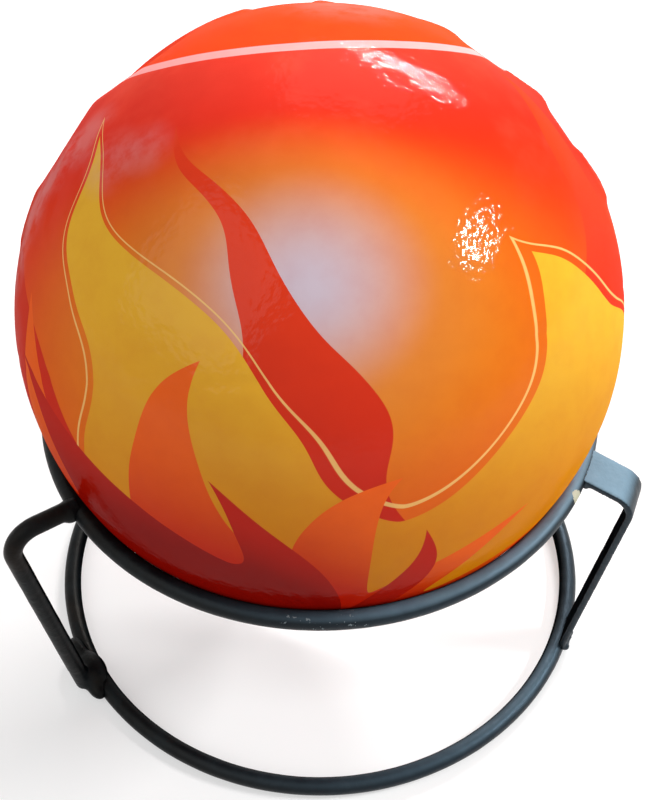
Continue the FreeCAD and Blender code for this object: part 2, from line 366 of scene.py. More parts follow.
@dataclass(frozen=True)
class PrintedFilm:
    """Glossy shrink film with printed flames and painted pink sheen.

    The print is laid out on the sleeve: across goes round the sleeve's axis from the front,
    and up goes from its middle towards its upper pole, both in metres on the ball.
    """

    stripe_at: float = 63.7 * MM
    stripe_half: float = 1.6 * MM
    edge: float = 0.12 * MM
    cap: str = "f04410"
    cap_side: str = "e42404"
    stripe: str = "f8a3a0"
    # Pinkish band below the stripe at the front, a painted sheen of the film
    sheen_below_stripe: str = "de3624"
    side: str = "e01c02"
    middle: str = "e26008"
    # Pink of the clouds below the stripe, a painted sheen of the film
    cloud: str = "ec4a32"
    mottle: str = "b81400"
    # Pale pink of the painted sheen patches, a painted reflection on the film
    sheen_patch: str = "dcaaaa"
    sheen_cloud_size: float = 26 * MM
    sheen_cloud_strength: float = 0.45
    mottle_size: float = 7 * MM
    mottle_strength: float = 0.10
    patch_size: float = 9 * MM
    waver_size: float = 60 * MM
    waver_strength: float = 0.5
    rise_swing: float = 0.26
    outline_inset: float = 4.5 * MM
    outline_half: float = 0.7 * MM
    outline_core: float = 0.45 * MM
    outline_strength: float = 0.75
    ripple_size: float = 6 * MM
    grain_size: float = 1.5 * MM
    haze_size: float = 22 * MM
    film_wave: float = 0.10 * MM
    coat_wave: float = 0.13 * MM
    # Patches of painted reflection: pale pink sheen along the left edge and one at the back of the
    # top
    sheen_patches: tuple[SheenPatch, ...] = (
        SheenPatch(173, 45, 12 * MM, 0.26), SheenPatch(174, 36, 12 * MM, 0.32),
        SheenPatch(177, 27, 12 * MM, 0.34), SheenPatch(181, 18, 12 * MM, 0.30),
        SheenPatch(190, 51, 11 * MM, 0.22), SheenPatch(196, 58, 9 * MM, 0.20),
        SheenPatch(189, 6, 16 * MM, 0.14), SheenPatch(75, 62, 20 * MM, 0.16),
    )
    halos: tuple[Halo, ...] = (
        Halo("e48008", 92 * MM, 50 * MM, -20 * MM, 0.30, 0.92),
        Halo("de8234", 52 * MM, 44 * MM, -15 * MM, 0.30, 0.95),
        Halo("c8bccb", 30 * MM, 27 * MM, -12 * MM, 0.05, 0.92),
    )
    rows: tuple[FlameRow, ...] = (
        FlameRow(-72 * MM, 22 * MM, 116 * MM, 5, 0.518, 0.34, "de3406", "c81c02", 0.85, slim=2.4),
        FlameRow(-67 * MM, 22 * MM, 78 * MM, 4, -0.26, 0.30, "e8ae28", "d88206", 0.75,
                 outline="f7cd78"),
        FlameRow(-88 * MM, 24 * MM, 46 * MM, 9, 0.35, -0.30, "f0600c", "c41c04", 0.70,
                 tilt=20 * MM),
        FlameRow(-100 * MM, 22 * MM, 42 * MM, 7, 0.62, 0.30, "c01c06", "8c0a02", 0.80,
                 tilt=33 * MM),
    )

    def layout(self, sheet: NodeSheet) -> FilmSpot:
        """Finds where each point of the film lies on the sleeve.

        Args:
            sheet: The node tree.

        Returns:
            The point's places on the sleeve.
        """
        place = sheet.place()
        up = direction(SLEEVE_POLE_AZIMUTH_DEG, SLEEVE_POLE_ELEVATION_DEG)
        viewer = direction(VIEW_AZIMUTH_DEG - 90, VIEW_ELEVATION_DEG)
        front = (viewer - up * viewer.dot(up)).normalized()
        right = up.cross(front)
        out = sheet.vector("SUBTRACT", place, tuple(ball_centre()))
        out = sheet.vector("NORMALIZE", out)
        turn = sheet.math("ARCTAN2", sheet.along(out, right), sheet.along(out, front))
        rise = sheet.math("ARCSINE", sheet.along(out, up))
        cap = direction(STRIPE_POLE_AZIMUTH_DEG, STRIPE_POLE_ELEVATION_DEG)
        top = sheet.math("ARCSINE", sheet.along(out, cap))
        return FilmSpot(
            place=place,
            turn=turn,
            up=sheet.times(rise, BALL_RADIUS),
            top=sheet.scaled(top, BALL_RADIUS, -self.stripe_at),
        )

    def with_flames(self, sheet: NodeSheet, row: FlameRow, spot: FilmSpot, waver: Socket,
                    below: Socket) -> Socket:
        """Lays one row of tongues over the colours below it.

        Args:
            sheet: The node tree.
            row: Sizes and colours of the row.
            spot: Place on the sleeve.
            waver: Noise that keeps the tongues from being alike.
            below: Colour that the row is printed over.

        Returns:
            The colour with the row on it.
        """
        sway = sheet.math("SUBTRACT", 1.0, sheet.math("COSINE", spot.turn))
        foot = sheet.scaled(sway, row.swell, row.foot)
        foot = sheet.scaled(sheet.math("SINE", spot.turn), -row.tilt, foot)
        swing = sheet.math("SINE", sheet.scaled(spot.turn, 2.0, 9 * row.phase))
        rise = sheet.scaled(swing, self.rise_swing * row.rise, row.rise)
        above = sheet.math("SUBTRACT", spot.up, foot)
        climb = sheet.math("DIVIDE", above, rise)
        lean = sheet.times(climb, sheet.math("ABSOLUTE", climb))
        across = sheet.scaled(spot.turn, row.count / (2 * math.pi), row.phase)
        across = sheet.scaled(lean, row.bend, across)
        across = sheet.scaled(waver, self.waver_strength, across)
        tongue = sheet.times(sheet.math("PINGPONG", across, 0.5), 2.0)
        tongue = sheet.math("POWER", tongue, row.slim)
        inside = sheet.math("SUBTRACT", sheet.times(tongue, rise), above)
        low = sheet.ease(climb, row.fade, row.fade - 0.9)
        shade = sheet.mix(low, row.tip, row.body)
        result = sheet.mix(sheet.ease(inside, -self.edge, self.edge), below, shade)
        if row.outline:
            band = sheet.math("ABSOLUTE", sheet.math("ADD", inside, self.outline_inset))
            line = sheet.ease(band, self.outline_half, self.outline_core)
            line = sheet.times(line, self.outline_strength)
            result = sheet.mix(line, result, row.outline)
        return result

    def ground(self, sheet: NodeSheet, spot: FilmSpot, frontness: Socket) -> Socket:
        """Colours that all else is printed over, with a painted pinkish sheen below the stripe.

        Args:
            sheet: The node tree.
            spot: Place on the sleeve.
            frontness: Share from 0 at the back to 1 at the front.

        Returns:
            The ground's colour.
        """
        high = sheet.ease(spot.up, -50 * MM, 40 * MM)
        colour = sheet.mix(high, self.middle, self.side)
        # Painted sheen: a pinkish band below the stripe at the front
        near = sheet.times(frontness, sheet.ease(spot.top, -34 * MM, -2 * MM))
        colour = sheet.mix(near, colour, self.sheen_below_stripe)
        # Painted sheen: pink clouds below the stripe
        sheen_cloud = sheet.ease(sheet.noise(spot.place, self.sheen_cloud_size, 4.0, 0.6), 0.46, 0.68)
        sheen_cloud = sheet.times(sheen_cloud, sheet.ease(spot.top, -62 * MM, -14 * MM))
        sheen_cloud = sheet.times(sheen_cloud, self.sheen_cloud_strength)
        return sheet.mix(sheen_cloud, colour, self.cloud)

    def with_halos(self, sheet: NodeSheet, spot: FilmSpot, below: Socket) -> Socket:
        """Lays the soft round fields of the front over the colours below.

        Args:
            sheet: The node tree.
            spot: Place on the sleeve.
            below: Colour that the fields are printed over.

        Returns:
            The colour with the fields on it.
        """
        colour = below
        for halo in self.halos:
            across = sheet.scaled(spot.turn, BALL_RADIUS / halo.wide, halo.shift)
            height = sheet.math("DIVIDE", sheet.math("SUBTRACT", spot.up, halo.rise), halo.tall)
            reach = sheet.math("SQRT", sheet.scaled(across, across, sheet.times(height, height)))
            share = sheet.times(sheet.ease(reach, 1.0, halo.core), halo.strength)
            colour = sheet.mix(share, colour, halo.colour)
        return colour

    def with_mottle_and_sheen(self, sheet: NodeSheet, spot: FilmSpot, below: Socket) -> Socket:
        """Mottles the colours below and lays the painted pink sheen patches over them.

        Args:
            sheet: The node tree.
            spot: Place on the sleeve.
            below: Colour of the finished print.

        Returns:
            The mottled colour with the painted sheen on it.
        """
        mottle = sheet.ease(sheet.noise(spot.place, self.mottle_size, 4.0, 0.6), 0.3, 0.8)
        colour = sheet.mix(sheet.times(mottle, self.mottle_strength), below, self.mottle)
        patchy = sheet.ease(sheet.noise(spot.place, self.patch_size, 4.0, 0.6), 0.30, 0.62)
        # Painted reflection: pale pink sheen patches, broken up by noise
        for sheen_patch in self.sheen_patches:
            middle = ball_centre() + BALL_RADIUS * direction(
                sheen_patch.azimuth_deg, sheen_patch.elevation_deg)
            far = sheet.vector("LENGTH", sheet.vector("SUBTRACT", spot.place, tuple(middle)))
            share = sheet.times(sheet.ease(far, sheen_patch.reach, 0.2 * sheen_patch.reach), patchy)
            share = sheet.times(share, sheen_patch.share)
            colour = sheet.mix(share, colour, self.sheen_patch)
        return colour

    def print_colour(self, sheet: NodeSheet, spot: FilmSpot) -> Socket:
        """All colours of the film, from the ground up to the cap, the stripe, the mottling and the
        painted sheen.

        Args:
            sheet: The node tree.
            spot: Place on the sleeve.

        Returns:
            The film's colour.
        """
        frontness = sheet.ease(sheet.math("COSINE", spot.turn), -0.1, 1.0)
        colour = self.with_halos(sheet, spot, self.ground(sheet, spot, frontness))
        waver = sheet.math("SUBTRACT", sheet.noise(spot.place, self.waver_size, 1.0), 0.5)
        for row in self.rows:
            colour = self.with_flames(sheet, row, spot, waver, colour)
        cap = sheet.mix(frontness, self.cap_side, self.cap)
        colour = sheet.mix(sheet.ease(spot.top, -self.edge, self.edge), colour, cap)
        band = sheet.math("ABSOLUTE", spot.top)
        stripe = sheet.ease(band, self.stripe_half + self.edge, self.stripe_half - self.edge)
        colour = sheet.mix(stripe, colour, self.stripe)
        return self.with_mottle_and_sheen(sheet, spot, colour)

    def make(self) -> Material:
        """The film's material."""
        sheet = NodeSheet("printed_film")
        spot = self.layout(sheet)
        ripple = sheet.noise(spot.place, self.ripple_size)
        grain = sheet.noise(spot.place, self.grain_size)
        haze = sheet.ease(sheet.noise(spot.place, self.haze_size, 5.0, 0.7), 0.3, 0.8)
        height = sheet.scaled(ripple, 1.7, grain)
        sheet.surface(
            Base_Color=self.print_colour(sheet, spot),
            Roughness=sheet.scaled(haze, 0.16, 0.30),
            Specular_IOR_Level=0.0,
            Normal=sheet.bump(ripple, self.film_wave),
            Coat_Normal=sheet.bump(height, self.coat_wave),
            Coat_Weight=0.05,
            Coat_IOR=3.0,
            Coat_Roughness=0.035,
        )
        return sheet.material


@dataclass(frozen=True)
class PaintChip:
    """Place where the black paint is chipped, in metres."""

    place: tuple[float, float, float]
    reach: float
    colour: str
    share: float


@dataclass(frozen=True)
class BlackPaint:
    """Thick semi-gloss black paint on steel, with chips, brown mottling and a painted blue-grey sky
    reflection.
    """

    base: str = "07090b"
    worn: str = "12171a"
    brown: str = "1e1510"
    # Blue-grey of the painted sky reflection on upper faces at the top right
    sky_sheen: str = "7692a4"
    # Tints of the reflections: warm grey on the unlit left, sky blue on the lit right
    unlit_sheen: str = "cdc8be"
    lit_sheen: str = "aacce6"
    cloud_size: float = 7 * MM
    grain_size: float = 1.1 * MM
    rust_size: float = 16 * MM
    rust_strength: float = 0.6
    lump_size: float = 3.2 * MM
    lump_depth: float = 0.18 * MM
    chips: tuple[PaintChip, ...] = ()

    def sky_sheen_share(self, sheet: NodeSheet, place: Socket, facing: Socket,
                   cloud: Socket) -> Socket:
        """How strongly the painted sky reflection covers each point.

        Args:
            sheet: The node tree.
            place: The point.
            facing: The surface's normal there.
            cloud: Noise that breaks the painted reflection up.

        Returns:
            Share of painted reflection, the most on upper faces at the top right.
        """
        upward = sheet.ease(sheet.along(facing, (0, 0, 1)), 0.48, 1.0)
        rightward = sheet.ease(sheet.along(place, (1, 0, 0)), -50 * MM, 84 * MM)
        high = sheet.ease(sheet.along(place, (0, 0, 1)), 20 * MM, 70 * MM)
        fore = sheet.ease(sheet.along(place, (0, 1, 0)), -22 * MM, -44 * MM)
        high = sheet.math("MAXIMUM", high, sheet.times(fore, 0.30))
        sheen_mask = sheet.times(upward, sheet.times(rightward, high))
        return sheet.times(sheen_mask, sheet.scaled(cloud, 0.5, 0.6))

    def with_chips(self, sheet: NodeSheet, place: Socket, grain: Socket, below: Socket) -> Socket:
        """Lays the specks where the paint is chipped over the colours below.

        Args:
            sheet: The node tree.
            place: The point.
            grain: Noise that gives the specks their shape.
            below: Colour of the paint.

        Returns:
            The colour with the specks on it.
        """
        colour = below
        for chip in self.chips:
            far = sheet.vector("LENGTH", sheet.vector("SUBTRACT", place, chip.place))
            near = sheet.ease(far, chip.reach, 0.3 * chip.reach)
            speck = sheet.ease(sheet.times(near, grain), chip.share, chip.share + 0.02)
            colour = sheet.mix(speck, colour, chip.colour)
        return colour

    def make(self) -> Material:
        """The stand's material, with less sheen on its left and none on its inner faces."""
        sheet = NodeSheet("black_paint")
        place = sheet.place()
        facing = sheet.tree.nodes.new("ShaderNodeTexCoord").outputs["Normal"]
        cloud = sheet.noise(place, self.cloud_size, 5.0, 0.65)
        grain = sheet.noise(place, self.grain_size, 3.0, 0.6)
        colour = sheet.mix(sheet.ease(cloud, 0.42, 0.72), self.base, self.worn)
        rust = sheet.ease(sheet.noise(place, self.rust_size, 4.0), 0.58, 0.75)
        colour = sheet.mix(sheet.times(rust, self.rust_strength), colour, self.brown)
        # Painted highlight: blue-grey sky reflection on upward faces at the top right and on the
        # front of the base ring
        colour = sheet.mix(self.sky_sheen_share(sheet, place, facing, cloud), colour, self.sky_sheen)
        colour = self.with_chips(sheet, place, grain, colour)
        # Painted light: sheen stronger and sky-blue towards the lit right, weaker and warm grey on
        # the left, and off on inner faces, which lie in shade
        lit = sheet.ease(sheet.along(place, (1, 0, 0)), -70 * MM, 30 * MM)
        outward = sheet.vector("NORMALIZE", sheet.vector("MULTIPLY", place, (1, 1, 0)))
        outer = sheet.ease(sheet.vector("DOT_PRODUCT", outward, facing), -0.80, -0.30)
        sheen = sheet.scaled(lit, 0.32, 0.14)
        lumps = sheet.noise(place, self.lump_size, 3.0, 0.55)
        height = sheet.scaled(grain, 0.25, lumps)
        sheet.surface(
            Base_Color=colour,
            Roughness=sheet.scaled(cloud, 0.30, 0.29),
            Specular_IOR_Level=sheet.times(sheen, outer),
            Specular_Tint=sheet.mix(lit, self.unlit_sheen, self.lit_sheen),
            Normal=sheet.bump(height, self.lump_depth),
        )
        return sheet.material


class Filling(Enum):
    """Plain finishes of the pieces inside the ball: colour, second colour, grain and bump."""

    FOAM = ("foam", "f0ede4", "dcd8cc", 3.2, 0.35)
    POWDER = ("dry_powder", "ece6c8", "d8d0a8", 0.8, 0.30)
    CARD = ("card_tube", "a9825a", "8f6a45", 1.6, 0.08)
    WAD = ("paper_wad", "c9c2b4", "a8a090", 2.4, 0.30)
    CHARGE = ("charge_paper", "9c2f22", "7c2018", 2.0, 0.10)
    FUSE = ("fuse_cord", "5f7a4d", "48603a", 0.9, 0.20)

    def make(self) -> Material:
        """The material of this finish."""
        name, colour, second, grain, depth = self.value
        sheet = NodeSheet(name)
        place = sheet.place()
        cells = sheet.cells(place, grain * MM)
        cloud = sheet.noise(place, 6 * grain * MM, 4.0, 0.6)
        share = sheet.times(sheet.ease(cells, 0.1, 0.8), sheet.ease(cloud, 0.2, 0.8))
        sheet.surface(
            Base_Color=sheet.mix(share, colour, second),
            Roughness=sheet.scaled(cloud, 0.2, 0.7),
            Normal=sheet.bump(cells, depth * MM),
        )
        return sheet.material


@dataclass
class FilmWrap:
    """Printed shrink film over the ball, a skin with its flats, ridges and pleats.

    Each flat or pleat has an azimuth and an elevation in degrees, and the depth of the flat or
    the height of the pleat in millimetres.
    """

    outer_cuts: int = 111
    inner_cuts: int = 55
    flats: tuple[tuple[float, float, float], ...] = (
        (34.0, 44.2, 1.2), (14.6, 31.9, 1.0), (137.9, 44.2, 1.6), (159.1, 30.6, 1.0))
    cord_bearings_deg: tuple[float, ...] = (37.0, 97.0, 157.0)
    cord_start_deg: float = 8.5
    cord_reach_deg: float = 60.0
    cord_body: float = 5.0 * MM
    cord_crest: float = 0.75 * MM
    pleats: tuple[tuple[float, float, float], ...] = (
        (47.0, 49.4, 0.35), (23.7, 38.3, 0.55), (5.8, 24.5, 0.70), (172.2, 18.9, 0.35),
        (181.0, 36.5, 0.45), (188.0, 32.0, 0.40))
    pleat_behind_deg: float = 7.0
    pleat_ahead_deg: float = 2.0
    pleat_half: float = 1.9 * MM
    seam_depth: float = 0.12 * MM
    seam_half: float = 1.1 * MM
    seat_half: float = 5.0 * MM
    seat_bulge: float = 0.26 * MM
    slack_size: float = 24 * MM
    slack_depth: float = 0.16 * MM
    crinkle_size: float = 9 * MM
    crinkle_depth: float = 0.05 * MM
    gather_count: int = 26
    gather_depth: float = 0.22 * MM
    round_over: float = 0.35 * MM
    centre: Vector = field(default_factory=ball_centre)

    def cube_ball(self, name: str, cuts: int) -> Piece:
        """A cube cut into even squares and blown up to a ball of radius 1.

        Args:
            name: Name of the new piece.
            cuts: Cuts along each edge of the cube.

        Returns:
            The piece, at the origin.
        """
        Shape.fresh()
        bpy.ops.mesh.primitive_cube_add(size=2 / math.sqrt(3))
        piece = bpy.context.object
        piece.name = name
        bpy.ops.object.mode_set(mode="EDIT")
        bpy.ops.mesh.select_all(action="SELECT")
        bpy.ops.mesh.subdivide(number_cuts=1)
        bpy.ops.mesh.subdivide(number_cuts=(cuts - 1) // 2)
        bpy.ops.object.mode_set(mode="OBJECT")
        points = Shape.points(piece) * math.sqrt(3)
        even = np.tan(points * math.pi / 4)
        Shape.move_points(piece, even / np.linalg.norm(even, axis=1)[:, None])
        return piece

    def off_arc(self, out: Array, start: Vector, toward: Vector,
                span_deg: float) -> Array:
        """Angle of each direction from an arc of a great circle.

        Args:
            out: Unit directions, one row each.
            start: Direction in which the arc starts.
            toward: Direction that the arc runs towards.
            span_deg: Length of the arc.

        Returns:
            One angle for each direction, in radians.
        """
        normal = np.array(start.cross(toward).normalized())
        begin = np.array(start)
        ahead = np.cross(normal, begin)
        along = np.clip(np.arctan2(out @ ahead, out @ begin), 0, math.radians(span_deg))
        nearest = np.cos(along)[:, None] * begin + np.sin(along)[:, None] * ahead
        return np.arccos(np.clip(np.sum(out * nearest, axis=1), -1, 1))

    def raise_ridge(self, reach: Array, off: Array, body: float,
                    crest: float) -> Array:
        """Lifts the skin over a round body that lies along an arc.

        Args:
            reach: Distance of the skin from the ball's centre.
            off: Angle of each direction from the arc.
            body: Radius of the round body.
            crest: Distance of its crest from the ball's centre.

        Returns:
            The lifted skin.
        """
        middle = crest - body
        beside = middle * np.sin(off)
        there = (beside < body) & (off < math.pi / 4)
        top = np.where(there, middle * np.cos(off) + np.sqrt(np.maximum(body**2 - beside**2, 0)), 0)
        return np.where(there, smooth_peak(top, reach, self.round_over), reach)

    def cord_arcs(self) -> list[tuple[Vector, Vector, float]]:
        """Start, way and span of the arc that each fuse cord takes under the film."""
        axis = direction(BALL_LEAN_AZIMUTH_DEG, 90 - BALL_LEAN_DEG)
        hinge = direction(BALL_LEAN_AZIMUTH_DEG + 90, 0)
        arcs = []
        for bearing in self.cord_bearings_deg:
            away = turned(direction(bearing, 0), hinge, BALL_LEAN_DEG)
            start = turned(axis, axis.cross(away), self.cord_start_deg)
            arcs.append((start, away, self.cord_reach_deg - self.cord_start_deg))
        return arcs

    def pleat_height(self, out: Array) -> Array:
        """Height of the tucks that radiate from the sleeve's pole.

        Args:
            out: Unit directions, one row each.

        Returns:
            One height for each direction, in metres.
        """
        pole = direction(SLEEVE_POLE_AZIMUTH_DEG, SLEEVE_POLE_ELEVATION_DEG)
        height = np.zeros(len(out))
        for azimuth, elevation, crest in self.pleats:
            at = direction(azimuth, elevation)
            start = turned(at, pole.cross(at), -self.pleat_behind_deg)
            span = self.pleat_behind_deg + self.pleat_ahead_deg
            off = self.off_arc(out, start, at, span) * BALL_RADIUS / self.pleat_half
            height += crest * MM * np.exp(-off**2)
        return height

    def reach_of(self, out: Array, inset: float) -> Array:
        """Distance of the skin from the ball's centre in many directions.

        Args:
            out: Unit directions, one row each.
            inset: How far the wanted surface lies below the outside.

        Returns:
            One distance for each direction, in metres.
        """
        reach = np.full(len(out), BALL_RADIUS - inset)
        for azimuth, elevation, depth in self.flats:
            facing = out @ np.array(direction(azimuth, elevation))
            plane = (BALL_RADIUS - depth * MM - inset) / np.maximum(facing, 0.5)
            reach = np.where(facing > 0.9, -smooth_peak(-reach, -plane, self.round_over), reach)
        for start, toward, span in self.cord_arcs():
            off = self.off_arc(out, start, toward, span)
            crest = BALL_RADIUS + self.cord_crest - inset
            reach = self.raise_ridge(reach, off, self.cord_body - inset, crest)
        return reach

    def unevenness(self, out: Array) -> Array:
        """Small forms of the outside: slack film, the shells' joint, pleats and gathers.

        Args:
            out: Unit directions, one row each.

        Returns:
            One height for each direction, in metres.
        """
        slack = noise_field(out * BALL_RADIUS, self.slack_size, 3.0) * self.slack_depth
        crinkle = noise_field(out * BALL_RADIUS, self.crinkle_size, 7.0) * self.crinkle_depth
        axis = np.array(direction(BALL_LEAN_AZIMUTH_DEG, 90 - BALL_LEAN_DEG))
        beside = BALL_RADIUS * np.abs(out @ axis) / self.seam_half
        seam = -self.seam_depth * np.exp(-beside**2)
        pole = direction(SLEEVE_POLE_AZIMUTH_DEG, SLEEVE_POLE_ELEVATION_DEG)
        side = pole.orthogonal().normalized()
        turn = np.arctan2(out @ np.array(pole.cross(side)), out @ np.array(side))
        near = np.clip((np.abs(out @ np.array(pole)) - 0.90) / 0.09, 0, 1)
        fold = np.sin(self.gather_count * turn + 3 * np.sin(5 * turn))
        gather = self.gather_depth * near**2 * fold
        seat = self.seat_share(out)
        loose = (slack + crinkle + seam + gather) * (1 - seat)
        return loose + self.seat_bulge * seat + self.pleat_height(out)

    def seat_share(self, out: Array) -> Array:
        """How near each direction is to the line on which the ball rests in its ring.

        Args:
            out: Unit directions, one row each.

        Returns:
            One share for each direction, 1 on the line.
        """
        ring = WireRing("upper_ring", "seat", 0.0)
        drop = math.atan2(ring.height - self.centre.z, ring.radius)
        beside = BALL_RADIUS * (np.arcsin(np.clip(out[:, 2], -1, 1)) - drop) / self.seat_half
        return np.exp(-beside**2)

    def build(self) -> Piece:
        """Models the skin, its outside and its inside.

        Returns:
            The finished piece.
        """
        skin = self.cube_ball("film", self.outer_cuts)
        out = Shape.points(skin)
        reach = self.reach_of(out, 0.0) + self.unevenness(out)
        Shape.move_points(skin, out * reach[:, None] + np.array(self.centre))
        lining = self.cube_ball("film_lining", self.inner_cuts)
        out = Shape.points(lining)
        reach = self.reach_of(out, FILM_THICKNESS)
        Shape.move_points(lining, out * reach[:, None] + np.array(self.centre))
        bpy.ops.object.mode_set(mode="EDIT")
        bpy.ops.mesh.select_all(action="SELECT")
        bpy.ops.mesh.flip_normals()
        bpy.ops.object.mode_set(mode="OBJECT")
        piece = Shape.join([skin, lining])
        Shape.smooth(piece)
        return piece


@dataclass
class WireRing:
    """Closed ring of round rod under thick paint, at the place of a CAD node."""

    node: str
    name: str
    seed: float
    major_steps: int = 420
    minor_steps: int = 36
    wave: float = 0.10 * MM

    def __post_init__(self) -> None:
        """Reads the ring's size and place from the frame."""
        low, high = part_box(self.node)
        self.rod = (high.z - low.z) / 2
        self.radius = (high.x - low.x) / 2 - self.rod
        self.height = (high.z + low.z) / 2

    def add_torus(self) -> Piece:
        """Adds the plain ring."""
        Shape.fresh()
        bpy.ops.mesh.primitive_torus_add(
            location=(0, 0, self.height), major_radius=self.radius,
            minor_radius=self.rod, major_segments=self.major_steps,
            minor_segments=self.minor_steps)
        piece = bpy.context.object
        Shape.apply_place(piece)
        return piece

    def build(self) -> Piece:
        """Models the ring with its uneven coat."""
        piece = self.add_torus()
        piece.name = self.name
        uneven(piece, self.wave, self.seed)
        Shape.smooth(piece)
        return piece


def uneven(piece: Piece, height: float, seed: float) -> None:
    """Moves the surface in by smooth noise, as thick paint lies, and never outwards.

    Args:
        piece: The piece.
        height: Depth of the deepest hollow, in metres.
        seed: Shift that gives another piece other noise.
    """
    points = Shape.points(piece)
    wave = 0.7 * noise_field(points, 6 * MM, seed) + 0.3 * noise_field(points, 2.2 * MM, seed + 5)
    depth = height * np.clip(0.5 - 0.5 * wave, 0, 1)
    Shape.move_points(piece, points - Shape.normals(piece) * depth[:, None])


@dataclass
class Leg:
    """A leg bent down from the upper ring to the base ring, with its weld beads.

    Its welds are melted in by blend_steps, and once more by foot_blend_steps below soft_below.
    """

    node: str
    name: str
    angle_deg: float
    upper: WireRing
    base: WireRing
    seed: float
    voxel: float = 0.36 * MM
    rise: float = 1.2 * MM
    bend_steps: int = 14
    blend_steps: int = 10
    foot_blend_steps: int = 40
    soft_below: float = 0.0
    coat_wave: float = 0.12 * MM

    def corners(self) -> tuple[Vector, Vector, Vector]:
        """Start, corner and foot of the leg's middle line, in the XZ plane."""
        raise NotImplementedError

    def add_section(self, start: Vector) -> Piece:
        """Adds the leg's cross-section at its start, facing along +X."""
        raise NotImplementedError

    def beads(self) -> list[tuple[Vector, Vector]]:
        """Middle and half sizes of each lump of weld."""
        raise NotImplementedError

    def sweep(self, bend_radius: float) -> Piece:
        """Extrudes the section along the arm, spins it round the bend and runs it to the foot.

        Args:
            bend_radius: Radius of the bend, to the middle of the section.

        Returns:
            The plain leg, in the XZ plane.
        """
        start, corner, foot = self.corners()
        back = (start - corner).normalized()
        ahead = (foot - corner).normalized()
        half = back.angle(ahead) / 2
        trim = bend_radius / math.tan(half)
        centre = corner + (back + ahead).normalized() * (bend_radius / math.sin(half))
        piece = self.add_section(start)
        bpy.ops.object.mode_set(mode="EDIT")
        bpy.ops.mesh.select_all(action="SELECT")
        arm = corner + back * trim - start
        bpy.ops.mesh.extrude_region_move(TRANSFORM_OT_translate={"value": arm})
        bpy.ops.mesh.spin(steps=self.bend_steps, angle=2 * half - math.pi, center=centre,
                          axis=(0, 1, 0))
        drop = foot - (corner + ahead * trim)
        bpy.ops.mesh.extrude_region_move(TRANSFORM_OT_translate={"value": drop})
        bpy.ops.mesh.select_all(action="SELECT")
        bpy.ops.mesh.remove_doubles(threshold=0.001 * MM)
        bpy.ops.mesh.normals_make_consistent(inside=False)
        bpy.ops.object.mode_set(mode="OBJECT")
        return piece

    def add_beads(self) -> list[Piece]:
        """Adds the lumps of weld, each as a piece of its own."""
        lumps = []
        for middle, half in self.beads():
            Shape.fresh()
            bpy.ops.mesh.primitive_uv_sphere_add(segments=24, ring_count=16, radius=1,
                                                 location=middle, scale=half)
            lumps.append(bpy.context.object)
            Shape.apply_place(lumps[-1])
        return lumps

    def soften_foot(self, piece: Piece) -> None:
        """Melts the welds at the foot further into the leg."""
        foot = piece.vertex_groups.new(name="foot")
        low = [vertex.index for vertex in piece.data.vertices if vertex.co.z < self.soft_below]
        foot.add(low, 1.0, "REPLACE")
        Shape.modify(piece, "SMOOTH", factor=0.5, iterations=self.foot_blend_steps,
                     vertex_group=foot.name)

    def build(self, bend_radius: float) -> Piece:
        """Models the leg, melts its welds on and copes it to both rings.

        Args:
            bend_radius: Radius of the bend at the corner, to the middle of the section.

        Returns:
            The finished piece.
        """
        piece = Shape.join([self.sweep(bend_radius), *self.add_beads()])
        piece.name = self.name
        piece.rotation_euler.z = math.radians(self.angle_deg)
        Shape.apply_place(piece)
        Shape.modify(piece, "REMESH", mode="VOXEL", voxel_size=self.voxel)
        Shape.modify(piece, "SMOOTH", factor=0.5, iterations=self.blend_steps)
        if self.soft_below:
            self.soften_foot(piece)
        uneven(piece, self.coat_wave, self.seed)
        for ring in (self.upper, self.base):
            cutter = ring.add_torus()
            Shape.modify(piece, "BOOLEAN", operation="DIFFERENCE", solver="MANIFOLD", object=cutter)
            bpy.data.objects.remove(cutter)
        Shape.smooth(piece)
        return piece


@dataclass
class StrapLeg(Leg):
    """Leg of flat strap, welded under its ends across its width."""

    width: float = 11 * MM
    thickness: float = 2 * MM
    arm_reach: float = 16.4 * MM
    arm_drop: float = math.radians(19)
    foot_reach: float = 1.6 * MM
    foot_lift: float = 2 * MM
    bend_radius: float = 6 * MM
    bead: float = 1.3 * MM
    bead_count: int = 6

    def corners(self) -> tuple[Vector, Vector, Vector]:
        """Start, corner and foot of the strap's middle line."""
        start = Vector((self.upper.radius, 0, self.upper.height + self.rise))
        slope = Vector((math.cos(self.arm_drop), 0, -math.sin(self.arm_drop)))
        foot = Vector((self.base.radius + self.foot_reach, 0, self.base.height + self.foot_lift))
        return start, start + slope * self.arm_reach, foot

    def add_section(self, start: Vector) -> Piece:
        """Adds the strap's flat section."""
        Shape.fresh()
        bpy.ops.mesh.primitive_plane_add(
            size=1, location=start, rotation=(0, math.pi / 2 + self.arm_drop, 0))
        piece = bpy.context.object
        piece.scale = (self.thickness, self.width, 1)
        Shape.apply_place(piece)
        return piece

    def beads(self) -> list[tuple[Vector, Vector]]:
        """Rows of lumps across the strap, at both rings."""
        arm_z = self.upper.height + self.rise - self.upper.rod * math.tan(self.arm_drop)
        rows = (
            (self.upper.radius + self.upper.rod, arm_z - self.thickness / 2 - self.bead / 2),
            (self.base.radius + self.base.rod, self.base.height + self.bead),
        )
        reach = self.width / 2 - self.bead
        found = []
        for row, (radius, height) in enumerate(rows):
            for step in range(self.bead_count):
                share = 2 * step / (self.bead_count - 1) - 1
                swell = 1 + 0.16 * math.sin(2.4 * step + self.seed + 2 * row)
                middle = Vector((radius, share * reach, height))
                found.append((middle, Vector((swell, 1.0, swell)) * self.bead))
        return found


